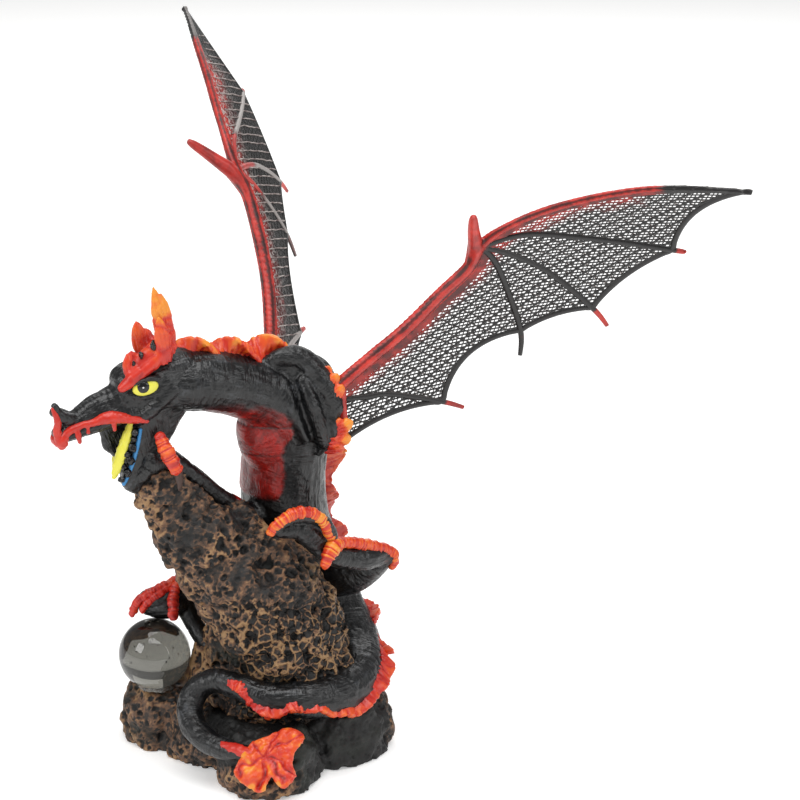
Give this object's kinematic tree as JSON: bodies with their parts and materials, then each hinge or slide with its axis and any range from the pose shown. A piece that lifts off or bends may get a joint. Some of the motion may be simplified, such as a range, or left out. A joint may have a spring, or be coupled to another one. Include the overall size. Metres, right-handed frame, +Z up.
{
  "type": "dragon figurine",
  "caption": "Winged dragon figurine in painted resin on a lava rock base, with lattice wings and a clear glass ball.",
  "frame": {"origin": "on the table plane, under the middle of the base's underside", "axes": "+Z up; the dragon's head points to -X, turned a little to -Y; the near wing reaches out along +X and the far wing back along +Y"},
  "size_m": [0.1876, 0.1509, 0.1915],
  "materials": {
    "painted_resin": "black painted cast resin with a grey dry-brush, red and orange fins and brown rock, satin",
    "soft_vinyl": "soft vinyl lattice, red at the arm fading to dark grey at the tip",
    "clear_glass": "clear solid glass with small bubbles, polished"
  },
  "bodies": {
    "root": {"dragon_on_rock": "painted_resin", "left_wing": "soft_vinyl", "right_wing": "soft_vinyl", "glass_ball": "clear_glass"}
  },
  "joints": []
}
